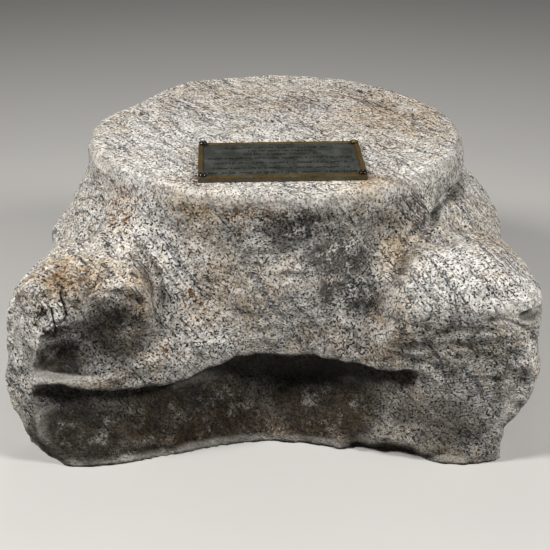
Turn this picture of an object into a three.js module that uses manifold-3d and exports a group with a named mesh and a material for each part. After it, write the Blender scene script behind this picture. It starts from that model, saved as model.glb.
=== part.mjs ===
// A weathered four-sided Ionic capital of gneiss, shown as it is kept today: upside down, on its abacus,
// with the round bed that once met the column's shaft on top. A small bronze plate is screwed to that bed.
//
// Millimetres, +Z up. The origin is in the middle of the flat underside, on the axis of the round bed.
// The front of the block, with the two better kept volutes, looks along -Y.
//
// The stone is described by one field: a function of a point that is negative inside the stone and about
// the distance to its surface near it. The field is turned into a closed mesh and cut flat at both beds.

import * as THREE from 'three';
import { mergeVertices } from 'three/addons/utils/BufferGeometryUtils.js';
import Module from 'manifold-3d';

const wasm = await Module();
wasm.setup();

// ---- driving dimensions: the stone ----
const HEIGHT = 330;
const DRUM_RADIUS = 243;
const DRUM_FOOT = 284;
const RIM_ROUNDING = 18;

// The bell under the drum: [height, radius] on the middle of a side, and on the diagonals.
const BELL_SIDE = [[60, 238], [118, 244], [150, 247], [200, 246], [270, 240], [300, 243], [330, 243]];
const BELL_DIAGONAL = [
  [60, 386], [130, 386], [165, 376], [200, 354], [228, 326], [248, 300], [264, 280], [280, 262], [308, 244], [330, 243],
];
const SWELL = { left: 48, right: 58, height: 187, reach: 118 };
const SWELL_STARTS = 38;
const SWELL_FADE = 25;
const VALLEY = { bearing: 32, width: 11, depth: 9, height: 258, reach: 55 };
const LIP = 118;

// The abacus, and the faces of the volutes above it, bow outwards from the middle of a side to its corners.
const SIDE_MIDDLE = 240;
const SIDE_BOW = 57;
const BOW_REACH = 230;
const CORNER_CUT = 412;
const ABACUS_TOP = 150;
const RECESS = { middle: 34, corner: 12, height: 85 };
const BROADENING = { left: 0.03, right: 0.04, fades: 35 };

const EYE_ACROSS = 214;
const VOLUTES = {
  left: { height: 184, radius: 80, broadens: 195 },
  right: { height: 188, radius: 86, broadens: 225 },
};
const VOLUTE_PROUD = 6;
const VOLUTE_DEPTH = 90;

// Mesh spacing of the stone: finer in front, where the carving is better kept.
const CELL = { x: 18, front: 16, back: 21, z: 16.5 };
const FRONT_ENDS = -130;
const MARGIN = 18;
const BED_CLEARANCE = 2.5;

// ---- driving dimensions: the plate and its screws ----
const PLATE = { width: 200, depth: 120, thickness: 6.4, border: 6.5, recess: 1.6 };
const PLATE_CENTRE = { x: 7, y: -134 };
const PLATE_TURN = THREE.MathUtils.degToRad(2.46);
const GAP = 0.3;
const SCREW = { inset: 5.8, head: 10.6, dome: 4.6, shank: 4.4, length: 36 };
const SCREW_SIDES = 12;

// ---- shaping functions ----

/** 1 at t = 0, falling smoothly to 0 at |t| = 1 and beyond. */
function bump(t) {
  const s = Math.max(1 - t * t, 0);
  return s * s;
}

/** 0 below t = 0, 1 above t = 1, smooth in between. */
function ease(t) {
  return THREE.MathUtils.smoothstep(t, 0, 1);
}

/** The union of two shapes, with a fillet about k wide. */
function join(a, b, k) {
  const share = THREE.MathUtils.clamp(0.5 + (0.5 * (b - a)) / k, 0, 1);
  return THREE.MathUtils.lerp(b, a, share) - k * share * (1 - share);
}

/** What two shapes have in common, with an edge rounded over about k. */
function common(a, b, k) {
  return -join(-a, -b, k);
}

/** Shape a with shape b taken out of it. */
function without(a, b, k) {
  return common(a, -b, k);
}

/** The radius at a height, on a smooth curve through [height, radius] rows that never overshoots them. */
function radiusAt(height, rows) {
  let i = 0;
  while (i < rows.length - 2 && height > rows[i + 1][0]) {
    i += 1;
  }
  const slope = (j) => (rows[j + 1][1] - rows[j][1]) / (rows[j + 1][0] - rows[j][0]);
  const tangent = (j) => {
    if (j === 0) return slope(0);
    if (j === rows.length - 1) return slope(j - 1);
    const before = slope(j - 1);
    const after = slope(j);
    return before * after > 0 ? (2 * before * after) / (before + after) : 0;
  };
  const span = rows[i + 1][0] - rows[i][0];
  const t = THREE.MathUtils.clamp((height - rows[i][0]) / span, 0, 1);
  const rise = t * t * (3 - 2 * t);
  const from = (t - 2 * t * t + t * t * t) * span * tangent(i);
  const to = (t * t * t - t * t) * span * tangent(i + 1);
  return THREE.MathUtils.lerp(rows[i][1], rows[i + 1][1], rise) + from + to;
}

/** A half-space: positive on the side of the point at that the normal looks to. */
function plane(p, at, normal) {
  const size = Math.hypot(...normal);
  return normal.reduce((sum, n, i) => sum + (n / size) * (p[i] - at[i]), 0);
}

/** An ellipsoid with the given half axes, turned about Z. */
function ellipsoid(p, at, axes, turn = 0) {
  const angle = THREE.MathUtils.degToRad(turn);
  const dx = p[0] - at[0];
  const dy = p[1] - at[1];
  const along = dx * Math.cos(angle) + dy * Math.sin(angle);
  const across = dy * Math.cos(angle) - dx * Math.sin(angle);
  return (Math.hypot(along / axes[0], across / axes[1], (p[2] - at[2]) / axes[2]) - 1) * Math.min(...axes);
}

// ---- the stone ----

/** How far a side's face stands out from the middle plane, at a distance from the side's middle. */
function bowedFace(across) {
  return SIDE_MIDDLE + SIDE_BOW * ease(across / BOW_REACH);
}

/** The bell: round at the drum, flaring towards the four corners, swollen where the front isn't worn. */
function bell(x, y, z) {
  const radius = Math.hypot(x, y) + 1e-6;
  const twice = ((2 * x * y) / radius ** 2) ** 2;
  const power = 1.5 + 2 * ease((z - 125) / 110);
  const side = x > 0 ? SWELL.right : SWELL.left;
  const fromFront = THREE.MathUtils.radToDeg(Math.atan2(Math.abs(x), -y));
  const swell = side * ease((fromFront - SWELL_STARTS) / SWELL_FADE) * bump((z - SWELL.height) / SWELL.reach);
  const middle = radiusAt(z, BELL_SIDE) + swell;
  const flare = Math.max(radiusAt(z, BELL_DIAGONAL) - middle, 0) * twice ** power;
  const out = Math.max(Math.abs(x), Math.abs(y));
  const across = Math.min(Math.abs(x), Math.abs(y));
  const bearing = THREE.MathUtils.radToDeg(Math.atan2(across, out));
  const valley = bump((bearing - VALLEY.bearing) / VALLEY.width) * bump((z - VALLEY.height) / VALLEY.reach);
  let field = (radius - middle - flare) * 0.85 + VALLEY.depth * valley;
  if (y < 0) {
    // What is left of a half-round moulding across the front.
    field -= 3.5 * bump((z - 240) / 9) * bump((x - 12) / 62);
  }
  return field;
}

/** A pair of volutes on each side, back to back at the corners, as thick round discs with rolled tops. */
function volutes(x, y, z) {
  const kind = x > 0 ? VOLUTES.right : VOLUTES.left;
  const out = Math.max(Math.abs(x), Math.abs(y));
  const across = Math.min(Math.abs(x), Math.abs(y));
  const aside = across - EYE_ACROSS;
  const above = z - kind.height;
  let reach = Math.hypot(aside, above);
  if (above < 0 && aside > 0) {
    reach = Math.max(aside, -above);
  }
  const face = bowedFace(across) + VOLUTE_PROUD;
  const roll = kind.radius - 14;
  const over = Math.max(out - (face - roll), 0);
  const rolled = (above > 0 ? Math.hypot(over, above) : over) - roll;
  let field = common(reach - kind.radius, rolled * 0.93, 10);
  field = common(field, face - VOLUTE_DEPTH - out, 10);
  // The solid corner that carries them.
  let corner = common((out - face + 3) * 0.9, 236 - across, 14);
  corner = common(corner, z - 176, 12);
  return join(field, corner, 8);
}

/** A groove that sets the front volutes off from the bell. */
function ringGroove(x, y, z) {
  const kind = x > 0 ? VOLUTES.right : VOLUTES.left;
  const ring = Math.hypot(Math.abs(x) - EYE_ACROSS, z - kind.height);
  return y < 0 ? 5 * bump((ring - kind.radius - 6) / 10) * ease((z - 150) / 30) : 0;
}

/** The bell's lower edge overhangs the recess of the abacus, and arches up in the middle of the front. */
function lipHeight(x, y, diagonal) {
  const arch = y < 0 ? 12 * bump((x - 30) / 120) : 0;
  return LIP + arch - 34 * ease((diagonal - 386) / 22);
}

/** The abacus: thick, bowed in plan, leaning back to a recess under the lip. */
function abacus(out, across, diagonal, z) {
  const depth = RECESS.middle - (RECESS.middle - RECESS.corner) * ease((across - 60) / 150);
  const kept = 1 - ease((diagonal - 386) / 22);
  const recess = depth * kept * ease(z / RECESS.height);
  let field = (out - (bowedFace(across) - recess)) * 0.9;
  field = common(field, diagonal - CORNER_CUT, 10);
  return common(field, z - ABACUS_TOP, 10);
}

/** Breaks, chips and hollows, each cut out of the field in turn. */
function worn(field, p) {
  let left = field;
  // Front left volute: the lump of its eye, the hollow under it, and the dished band inside the ring.
  left = join(left, ellipsoid(p, [-258, -272, 208], [44, 38, 40]), 14);
  left = without(left, ellipsoid(p, [-214, -318, 156], [58, 44, 36], 20), 10);
  left = without(left, ellipsoid(p, [-178, -318, 190], [26, 40, 52], 30), 10);
  // Lower left corner: a flat break.
  left = common(left, plane(p, [-310, -268, 58], [-0.63, -0.6, -0.49]), 6);
  // Front right volute: its face is gone, in one wide shallow shell-shaped break.
  left = without(left, ellipsoid(p, [171, -594, 95], [320, 320, 320]), 6);
  // Lower right corner: broken in under the volute, and back along the bottom.
  const under = Math.max(277 - p[0], (p[2] - 52 - 1.6 * (p[0] - 277)) / 1.9, p[1] + 150);
  left = without(left, under, 8);
  const foot = common(-plane(p, [237, -296, 0], [0.3, -0.92, -0.24]), 170 - p[0], 30);
  left = without(left, foot, 6);
  left = without(left, ellipsoid(p, [106, -296, -16], [96, 56, 60]), 8);
  // Back corners: the tops of the volutes are gone.
  left = common(left, plane(p, [-318, 200, 128], [-0.78, 0.2, 0.6]), 14);
  left = common(left, plane(p, [323, 200, 142], [0.78, 0.2, 0.6]), 14);
  // A deeper cave under the middle of the front lip.
  return without(left, ellipsoid(p, [-5, -252, 100], [105, 44, 26]), 6);
}

/** The whole stone, before its two beds are cut flat. */
function stone(x, y, z) {
  const kind = x > 0 ? VOLUTES.right : VOLUTES.left;
  const broadening = x > 0 ? BROADENING.right : BROADENING.left;
  const broad = 1 + broadening * (1 - ease((z - kind.broadens) / BROADENING.fades));
  const bx = x / broad;
  const out = Math.max(Math.abs(bx), Math.abs(y));
  const across = Math.min(Math.abs(bx), Math.abs(y));
  const diagonal = (out + across) / Math.SQRT2;
  let upper = join(bell(bx, y, z) + ringGroove(bx, y, z), volutes(bx, y, z), 4);
  upper = common(upper, diagonal - CORNER_CUT, 8);
  upper = common(upper, lipHeight(bx, y, diagonal) - z, 9);
  let field = join(upper, abacus(out, across, diagonal, z), 6);
  field = worn(field, [x, y, z]);
  const drum = common(Math.hypot(x, y) - DRUM_RADIUS, DRUM_FOOT - z, 6);
  field = join(field, drum, 8);
  field = common(field, z - HEIGHT - 2, RIM_ROUNDING);
  return common(field, -MARGIN + 4 - z, 2);
}

// ---- from field to mesh ----

/** Evenly spaced values from first to last, about step apart. */
function ruler(first, last, step) {
  const count = Math.round((last - first) / step);
  return Array.from({ length: count + 1 }, (_, i) => first + ((last - first) * i) / count);
}

/** The direction in which the field grows fastest, and how fast. */
function gradient(field, p) {
  const h = 0.5;
  const g = [0, 1, 2].map((axis) => {
    const ahead = [...p];
    const behind = [...p];
    ahead[axis] += h;
    behind[axis] -= h;
    return (field(...ahead) - field(...behind)) / (2 * h);
  });
  return g;
}

/** Moves a point onto the surface, by at most half a cell, and clear of the planes of the two beds. */
function settle(field, p) {
  const start = [...p];
  for (let round = 0; round < 4; round += 1) {
    const g = gradient(field, p);
    const steep = Math.max(g[0] ** 2 + g[1] ** 2 + g[2] ** 2, 0.2);
    const value = field(...p);
    for (let axis = 0; axis < 3; axis += 1) {
      const moved = p[axis] - (value * g[axis]) / steep;
      p[axis] = THREE.MathUtils.clamp(moved, start[axis] - CELL.z / 2, start[axis] + CELL.z / 2);
    }
  }
  [0, HEIGHT].forEach((bed) => {
    if (Math.abs(p[2] - bed) < BED_CLEARANCE) {
      p[2] = bed + BED_CLEARANCE * (p[2] < bed ? -1 : 1);
    }
  });
}

/**
 * Changes the least certain value wherever the surface would touch itself inside one cell: on a grid face
 * whose corners are inside and outside by turns, and in a cell with two lone corners opposite each other.
 */
function untangle(values, size, at) {
  const steps = [at(1, 0, 0), at(0, 1, 0), at(0, 0, 1)];
  const inside = (corner) => values[corner] < 0;
  const flipLeast = (corners) => {
    const least = corners.reduce((a, b) => (Math.abs(values[a]) < Math.abs(values[b]) ? a : b));
    values[least] = inside(least) ? 0.5 : -0.5;
  };
  let changed = false;
  for (let i = 0; i < size[0] - 1; i += 1) {
    for (let j = 0; j < size[1] - 1; j += 1) {
      for (let k = 0; k < size[2] - 1; k += 1) {
        const here = at(i, j, k);
        steps.forEach((step, axis) => {
          const side = steps[(axis + 1) % 3];
          const face = [here, here + step, here + step + side, here + side];
          const [a, b, c, d] = face.map(inside);
          if (a === c && b === d && a !== b) {
            flipLeast(face);
            changed = true;
          }
        });
        const corners = [0, 1, 2, 3, 4, 5, 6, 7].map((n) => (
          here + (n & 1 ? steps[0] : 0) + (n & 2 ? steps[1] : 0) + (n & 4 ? steps[2] : 0)
        ));
        [true, false].forEach((kind) => {
          const lone = corners.filter((corner) => inside(corner) === kind);
          if (lone.length === 2 && corners.indexOf(lone[0]) + corners.indexOf(lone[1]) === 7) {
            flipLeast(lone);
            changed = true;
          }
        });
      }
    }
  }
  return changed;
}

/** Surface nets: one point in each cell that the surface crosses, one quad across each crossed grid line. */
function netOf(field, axes) {
  const [xs, ys, zs] = axes;
  const size = axes.map((axis) => axis.length);
  const at = (i, j, k) => (i * size[1] + j) * size[2] + k;
  const values = new Float64Array(size[0] * size[1] * size[2]);
  xs.forEach((x, i) => ys.forEach((y, j) => zs.forEach((z, k) => {
    values[at(i, j, k)] = field(x, y, z);
  })));
  for (let round = 0; round < 10 && untangle(values, size, at); round += 1);

  const sums = new Map();
  const addCrossing = (cell, point) => {
    const sum = sums.get(cell) ?? [0, 0, 0, 0];
    sums.set(cell, [sum[0] + point[0], sum[1] + point[1], sum[2] + point[2], sum[3] + 1]);
  };
  const quads = [];
  for (let axis = 0; axis < 3; axis += 1) {
    const next = (axis + 1) % 3;
    const last = (axis + 2) % 3;
    const node = [0, 0, 0];
    for (node[axis] = 0; node[axis] < size[axis] - 1; node[axis] += 1) {
      for (node[next] = 1; node[next] < size[next] - 1; node[next] += 1) {
        for (node[last] = 1; node[last] < size[last] - 1; node[last] += 1) {
          const ahead = [...node];
          ahead[axis] += 1;
          const here = values[at(...node)];
          const there = values[at(...ahead)];
          if (here < 0 === there < 0) continue;
          const point = node.map((n, i) => axes[i][n]);
          point[axis] = THREE.MathUtils.lerp(point[axis], axes[axis][ahead[axis]], here / (here - there));
          const cells = [[0, 0], [1, 0], [1, 1], [0, 1]].map(([a, b]) => {
            const cell = [...node];
            cell[next] -= a;
            cell[last] -= b;
            return at(...cell);
          });
          cells.forEach((cell) => addCrossing(cell, point));
          quads.push(here < 0 ? cells : cells.reverse());
        }
      }
    }
  }

  const numbers = new Map([...sums.keys()].map((cell, i) => [cell, i]));
  const points = [...sums.values()].map((sum) => [sum[0] / sum[3], sum[1] / sum[3], sum[2] / sum[3]]);
  points.forEach((point) => settle(field, point));
  const triangles = quads.flatMap((quad) => {
    const [a, b, c, d] = quad.map((cell) => numbers.get(cell));
    const length = (i, j) => Math.hypot(...points[i].map((value, axis) => value - points[j][axis]));
    return length(a, c) < length(b, d) ? [a, b, c, a, c, d] : [a, b, d, b, c, d];
  });
  return { points, triangles };
}

// ---- solids ----

/** A manifold solid from points and triangle corners. */
function solidFrom(vertProperties, triVerts) {
  return new wasm.Manifold(new wasm.Mesh({ numProp: 3, vertProperties, triVerts }));
}

/** A manifold solid from a closed geometry. */
function solidOf(geometry) {
  const bare = geometry.index ? geometry.clone() : geometry;
  bare.deleteAttribute('normal');
  bare.deleteAttribute('uv');
  const merged = mergeVertices(bare, 1e-4);
  return solidFrom(new Float32Array(merged.attributes.position.array), new Uint32Array(merged.index.array));
}

/** A geometry with flat shaded faces from a manifold solid. */
function geometryOf(solid) {
  const mesh = solid.getMesh();
  const geometry = new THREE.BufferGeometry();
  geometry.setAttribute('position', new THREE.BufferAttribute(new Float32Array(mesh.vertProperties), 3));
  geometry.setIndex(new THREE.BufferAttribute(new Uint32Array(mesh.triVerts), 1));
  geometry.computeVertexNormals();
  return geometry;
}

/** A box with its lowest face at the given height. */
function box(width, depth, height, x, y, z) {
  return new THREE.BoxGeometry(width, depth, height).translate(x, y, z + height / 2);
}

/** An upright cylinder with its lowest face at the given height. */
function cylinder(diameter, height, x, y, z) {
  const upright = new THREE.CylinderGeometry(diameter / 2, diameter / 2, height, SCREW_SIDES);
  return upright.rotateX(Math.PI / 2).translate(x, y, z + height / 2);
}

/** The four screw places, as named corners in the plate's own frame. */
const SCREW_PLACES = ['front', 'back'].flatMap((row) => ['left', 'right'].map((side) => ({
  name: `screw_${row}_${side}`,
  x: (side === 'left' ? -1 : 1) * (PLATE.width / 2 - SCREW.inset),
  y: (row === 'front' ? -1 : 1) * (PLATE.depth / 2 - SCREW.inset),
})));

/** A point of the plate's own frame, in the frame of the whole. */
function onStone(place) {
  const turned = new THREE.Vector2(place.x, place.y).rotateAround(new THREE.Vector2(), PLATE_TURN);
  return { x: turned.x + PLATE_CENTRE.x, y: turned.y + PLATE_CENTRE.y };
}

function capitalGeometry() {
  const half = { x: 332, y: 322 };
  const axes = [
    ruler(-half.x, half.x, CELL.x),
    [...ruler(-half.y, FRONT_ENDS, CELL.front), ...ruler(FRONT_ENDS, half.y, CELL.back).slice(1)],
    ruler(-MARGIN, HEIGHT + MARGIN, CELL.z),
  ];
  const net = netOf(stone, axes);
  let solid = solidFrom(new Float32Array(net.points.flat()), new Uint32Array(net.triangles));
  solid = solid.intersect(solidOf(box(2 * half.x, 2 * half.y, HEIGHT, 0, 0, 0)));
  const shankEnd = HEIGHT + PLATE.thickness - SCREW.length;
  SCREW_PLACES.map(onStone).forEach(({ x, y }) => {
    const hole = cylinder(SCREW.shank + 2 * GAP, SCREW.length, x, y, shankEnd - 2 * GAP);
    solid = solid.subtract(solidOf(hole));
  });
  return geometryOf(solid);
}

/** The plate: a border round a sunk field, and four clearance holes. */
function plateGeometry() {
  const field = {
    width: PLATE.width - 2 * PLATE.border,
    depth: PLATE.depth - 2 * PLATE.border,
    floor: PLATE.thickness - PLATE.recess,
  };
  let solid = solidOf(box(PLATE.width, PLATE.depth, PLATE.thickness, 0, 0, 0));
  solid = solid.subtract(solidOf(box(field.width, field.depth, PLATE.thickness, 0, 0, field.floor)));
  SCREW_PLACES.forEach(({ x, y }) => {
    solid = solid.subtract(solidOf(cylinder(SCREW.shank + 2 * GAP, 3 * PLATE.thickness, x, y, -PLATE.thickness)));
  });
  return geometryOf(solid);
}

/** A dome-headed screw, turned about its axis, with z = 0 under its head. */
function screwGeometry() {
  const head = SCREW.head / 2;
  const shank = SCREW.shank / 2;
  const dome = ruler(0, Math.PI / 2, Math.PI / 6).map((angle) => (
    new THREE.Vector2(head * Math.cos(angle), SCREW.dome * Math.sin(angle))
  ));
  dome[dome.length - 1].x = 0;
  const profile = [
    new THREE.Vector2(0, -SCREW.length),
    new THREE.Vector2(shank, -SCREW.length),
    new THREE.Vector2(shank, 0),
    ...dome,
  ];
  return new THREE.LatheGeometry(profile, SCREW_SIDES).rotateX(Math.PI / 2);
}

// ---- materials ----

const stoneMaterial = () => new THREE.MeshStandardMaterial({ color: 0xb9b2a8, roughness: 0.85, metalness: 0 });
const plateMaterial = () => new THREE.MeshStandardMaterial({ color: 0x4a4a3c, roughness: 0.5, metalness: 0.9 });
const screwMaterial = () => new THREE.MeshStandardMaterial({ color: 0x2c2823, roughness: 0.35, metalness: 0.9 });

function named(name, geometry, material) {
  const mesh = new THREE.Mesh(geometry, material);
  mesh.name = name;
  return mesh;
}

// ---- the assembly ----

const group = new THREE.Group();
group.add(named('capital', capitalGeometry(), stoneMaterial()));

const plate = new THREE.Group();
plate.position.set(PLATE_CENTRE.x, PLATE_CENTRE.y, HEIGHT + GAP);
plate.rotation.z = PLATE_TURN;
plate.add(named('plaque', plateGeometry(), plateMaterial()));
SCREW_PLACES.forEach(({ name, x, y }) => {
  const screw = named(name, screwGeometry(), screwMaterial());
  screw.position.set(x, y, PLATE.thickness + GAP);
  plate.add(screw);
});
group.add(plate);

export default group;
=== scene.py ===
"""A weathered stone Ionic capital, upside down on its abacus, with a bronze plate on its round bed."""

import itertools
import math

import bmesh
import bpy
import numpy as np
from mathutils import Matrix, Vector


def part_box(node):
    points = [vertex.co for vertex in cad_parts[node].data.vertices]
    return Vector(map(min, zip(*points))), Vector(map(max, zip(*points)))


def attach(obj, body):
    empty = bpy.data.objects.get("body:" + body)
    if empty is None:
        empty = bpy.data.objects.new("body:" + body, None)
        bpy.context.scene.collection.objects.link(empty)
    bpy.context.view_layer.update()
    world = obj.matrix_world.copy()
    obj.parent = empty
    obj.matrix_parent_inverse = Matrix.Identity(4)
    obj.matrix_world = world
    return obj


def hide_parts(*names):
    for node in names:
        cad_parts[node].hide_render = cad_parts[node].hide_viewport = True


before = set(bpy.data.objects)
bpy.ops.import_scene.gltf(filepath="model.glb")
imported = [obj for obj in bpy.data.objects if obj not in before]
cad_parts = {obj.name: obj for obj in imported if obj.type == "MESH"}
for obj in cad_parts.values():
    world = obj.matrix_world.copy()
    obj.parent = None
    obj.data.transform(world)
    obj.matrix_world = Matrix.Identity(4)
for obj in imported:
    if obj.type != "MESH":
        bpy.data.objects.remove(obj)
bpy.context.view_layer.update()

# The stone's shape is worked out in millimetres; every mesh is written in metres.
MM = 0.001
plate_low, plate_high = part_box("plaque")
SEED = 7

# ---- the stone: sizes and places in mm, left before right where a pair is given ----
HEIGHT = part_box("capital")[1][2] / MM
DRUM_RADIUS = 243
DRUM_FOOT = 268
DRUM_TAPER, DRUM_TAPER_HEIGHT = 7, 40
RIM_ROUNDING = 18

# The bell's (height, radius) in the middle of a side, and towards the corners.
BELL_SIDE = [(60, 238), (118, 244), (150, 247), (200, 246), (270, 240), (300, 243), (330, 243)]
BELL_DIAGONAL = [
    (60, 386), (130, 386), (165, 376), (200, 354), (228, 326),
    (248, 300), (264, 280), (280, 262), (308, 244), (330, 243),
]
FLARE_POWER, FLARE_SHARPENS, SHARPENS_ABOVE, SHARPENS_OVER = 1.5, 2, 125, 110
SWELL, SWELL_HEIGHT, SWELL_REACH = (39, 47), 187, 118
SWELL_STARTS, SWELL_FADE = 38, 25          # degrees round from the front
VALLEY_BEARING, VALLEY_WIDTH = 33, 11      # degrees from a side's middle
VALLEY_DEPTH, VALLEY_HEIGHT, VALLEY_REACH = (8, 15), 258, 55
MOULDING_PROUD, MOULDING_HEIGHT, MOULDING_TALL = 2.4, 238, 7
MOULDING_MIDDLE, MOULDING_REACH = 14, 52

# The lip: an arch in the middle of the front, a droop to its left, and a drop round each corner.
LIP = 118
ARCH_RISE, ARCH_STARTS, ARCH_STEP, ARCH_ENDS, ARCH_FADE = 5, -66, 26, 70, 70
DROOP, DROOP_STARTS, DROOP_FADE, DROOP_ENDS = 15, -262, 80, -70
CORNER_DROP, CORNER_STARTS, CORNER_FADE = 34, 386, 22

# The abacus: each side's face is bowed in plan, and leans back to the recess.
SIDE_MIDDLE, SIDE_BOW, BOW_REACH = 240, 57, 230
CORNER_CUT = 412
ABACUS_TOP = 150
RECESS_MIDDLE, RECESS_CORNER, RECESS_HEIGHT = 34, 12, 85
RECESS_STARTS, RECESS_FADE = 60, 150

EYE_ACROSS, EYE_HEIGHT = 214, (184, 188)
SCROLL_RADIUS = (80, 86)
VOLUTE_PROUD, VOLUTE_DEPTH = 6, 90
ROLL_SHORT, ROLL_SQUASH = 14, 0.93         # the rolled edge: less than the scroll, and a little flat
CORNER_ACROSS, CORNER_TOP, CORNER_SHY = 236, 176, 3

# How much wider the stone is low down, and across the right flank.
BROADENING, BROADENS_BELOW, BROADENS_OVER = (0.042, 0.020), (195, 225), 35
FLANK_WIDER, FLANK_HEIGHT, FLANK_REACH = (0, 0.022), 212, 45
FILLET, FLANK_FILLET, FLANK_TOP, FLANK_FADE = 4, 40, 215, 35

# The groove round each front scroll: about the eye, from straight outward, in degrees.
GROOVE_BEARING, GROOVE_SPREAD = (146, 96), (52, 44)
GROOVE_DEPTH, GROOVE_PAST_SCROLL, GROOVE_WIDTH = (6, 12), 5, 9

# Breaks with flat faces: a point on each, and the way it looks.
FALLING_FACE = ((-193, -284, 228), (0.473, -0.782, -0.407))
FACING_FACE = ((-137, -272, 202), (-0.05, -0.99, -0.06))
LEDGE_HEIGHT = 126
CORNER_CHAMFER = ((-275, -299, 150), (-0.62, -0.78, 0))
LOWER_LEFT_BREAK = ((-314, -272, 51), (-0.63, -0.6, -0.49))
FOOT_BREAK, FOOT_STARTS = ((237, -293, 0), (0.3, -0.92, -0.24)), 170
BACK_LEFT_BREAK = ((-318, 200, 128), (-0.78, 0.2, 0.6))
BACK_RIGHT_BREAK = ((323, 200, 142), (0.78, 0.2, 0.6))
RIM_LEFT_BREAK = ((-241, 18, 326), (-0.84, 0.50, 0.22))
RIM_BACK_BREAK = ((176, 156, 326), (0.66, 0.70, 0.28))
# Under the right volute: outward of an x, below a slope that climbs outward, and in front of a y.
UNDERCUT_FROM, UNDERCUT_TOP, UNDERCUT_CLIMB, UNDERCUT_BACK = 277, 52, 1.6, -150
UNDERCUT_SCALE = 1.9                       # turns a height above that slope into about a distance

# Lumps and round hollows: centre, half axes and turn about Z.
EYE_LUMP = ((-258, -278, 214), (42, 36, 34))
CORNER_LUMP = ((-295, -252, 90), (30, 46, 42))
CORNER_HOLLOW = ((-266, -309, 92), (44, 27, 27))
SHELL_BREAK = ((171, -594, 95), (320, 320, 320))
FLANK_NOTCH = ((312, -300, 206), (34, 26, 9), -14)
FRONT_BITE = ((110, -300, -20), (90, 52, 50))
CAVE = ((-2, -252, 95), (100, 44, 25))
RIM_NOTCH = ((66, 248, 338), (9, 24, 12), 12)
BED_CHIPS = [((166, 60, 331), (6, 4.5, 4), 30), ((172, 53, 331), (7, 4, 4), -20)]


# ---- shaping functions ----

def bump(t):
    """1 at t = 0, falling smoothly to 0 at |t| = 1 and beyond."""
    return np.clip(1 - t * t, 0, 1) ** 2


def ease(t):
    """0 below t = 0, 1 above t = 1, smooth in between."""
    t = np.clip(t, 0, 1)
    return t * t * (3 - 2 * t)


def join(a, b, k):
    """The union of two shapes, with a fillet about k wide."""
    share = np.clip(0.5 + 0.5 * (b - a) / k, 0, 1)
    return b + (a - b) * share - k * share * (1 - share)


def common(a, b, k):
    """What two shapes have in common, with an edge rounded over about k."""
    return -join(-a, -b, k)


def without(a, b, k):
    """Shape a with shape b taken out of it."""
    return common(a, -b, k)


def radius_at(height, rows):
    """The radius at a height, on a smooth curve through (height, radius) rows that never overshoots."""
    heights, radii = np.array(rows, float).T
    slopes = np.diff(radii) / np.diff(heights)
    tangents = np.concatenate([slopes[:1], np.zeros(len(rows) - 2), slopes[-1:]])
    before, after = slopes[:-1], slopes[1:]
    same = before * after > 0
    tangents[1:-1][same] = 2 * before[same] * after[same] / (before[same] + after[same])
    row = np.clip(np.searchsorted(heights, height) - 1, 0, len(slopes) - 1)
    span = heights[row + 1] - heights[row]
    t = np.clip((height - heights[row]) / span, 0, 1)
    rise = t * t * (3 - 2 * t)
    leaving = (t - 2 * t**2 + t**3) * span * tangents[row]
    arriving = (t**3 - t**2) * span * tangents[row + 1]
    return radii[row] + (radii[row + 1] - radii[row]) * rise + leaving + arriving


def plane(p, at, normal):
    """A half-space: positive on the side of the point at that the normal looks to."""
    normal = np.array(normal, float) / np.linalg.norm(normal)
    return sum((p[i] - at[i]) * normal[i] for i in range(3))


def ellipsoid(p, at, axes, turn=0):
    """An ellipsoid with the given half axes, turned about Z by turn degrees."""
    angle = math.radians(turn)
    dx, dy, dz = (p[i] - at[i] for i in range(3))
    along = dx * math.cos(angle) + dy * math.sin(angle)
    aside = dy * math.cos(angle) - dx * math.sin(angle)
    size = np.sqrt((along / axes[0])**2 + (aside / axes[1])**2 + (dz / axes[2])**2)
    return (size - 1) * min(axes)


def by_side(x, pair):
    """The left or the right one of a pair of values."""
    return np.where(x > 0, pair[1], pair[0])


def out_and_across(x, y):
    """How far out of the nearest side a point is, and how far from that side's middle."""
    return np.maximum(np.abs(x), np.abs(y)), np.minimum(np.abs(x), np.abs(y))


# ---- the stone as one field: negative inside, about the distance outside ----

def bowed_face(across):
    """How far a side's face stands out, at a distance from the side's middle."""
    return SIDE_MIDDLE + SIDE_BOW * ease(across / BOW_REACH)


def bell(x, y, z):
    """Round at the drum, flaring to the four corners, swollen where the front isn't worn."""
    radius = np.hypot(x, y) + 1e-6
    twice = (2 * x * y / radius**2)**2
    power = FLARE_POWER + FLARE_SHARPENS * ease((z - SHARPENS_ABOVE) / SHARPENS_OVER)
    from_front = np.degrees(np.arctan2(np.abs(x), -y))
    swell = by_side(x, SWELL) * ease((from_front - SWELL_STARTS) / SWELL_FADE)
    middle = radius_at(z, BELL_SIDE) + swell * bump((z - SWELL_HEIGHT) / SWELL_REACH)
    flare = np.maximum(radius_at(z, BELL_DIAGONAL) - middle, 0) * twice**power
    out, across = out_and_across(x, y)
    bearing = np.degrees(np.arctan2(across, out))
    valley = bump((bearing - VALLEY_BEARING) / VALLEY_WIDTH) * bump((z - VALLEY_HEIGHT) / VALLEY_REACH)
    field = (radius - middle - flare) * 0.85 + by_side(x, VALLEY_DEPTH) * valley
    # What is left of a half-round moulding across the front.
    moulding = bump((z - MOULDING_HEIGHT) / MOULDING_TALL) * bump((x - MOULDING_MIDDLE) / MOULDING_REACH)
    return field - MOULDING_PROUD * moulding * (y < 0)


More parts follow.
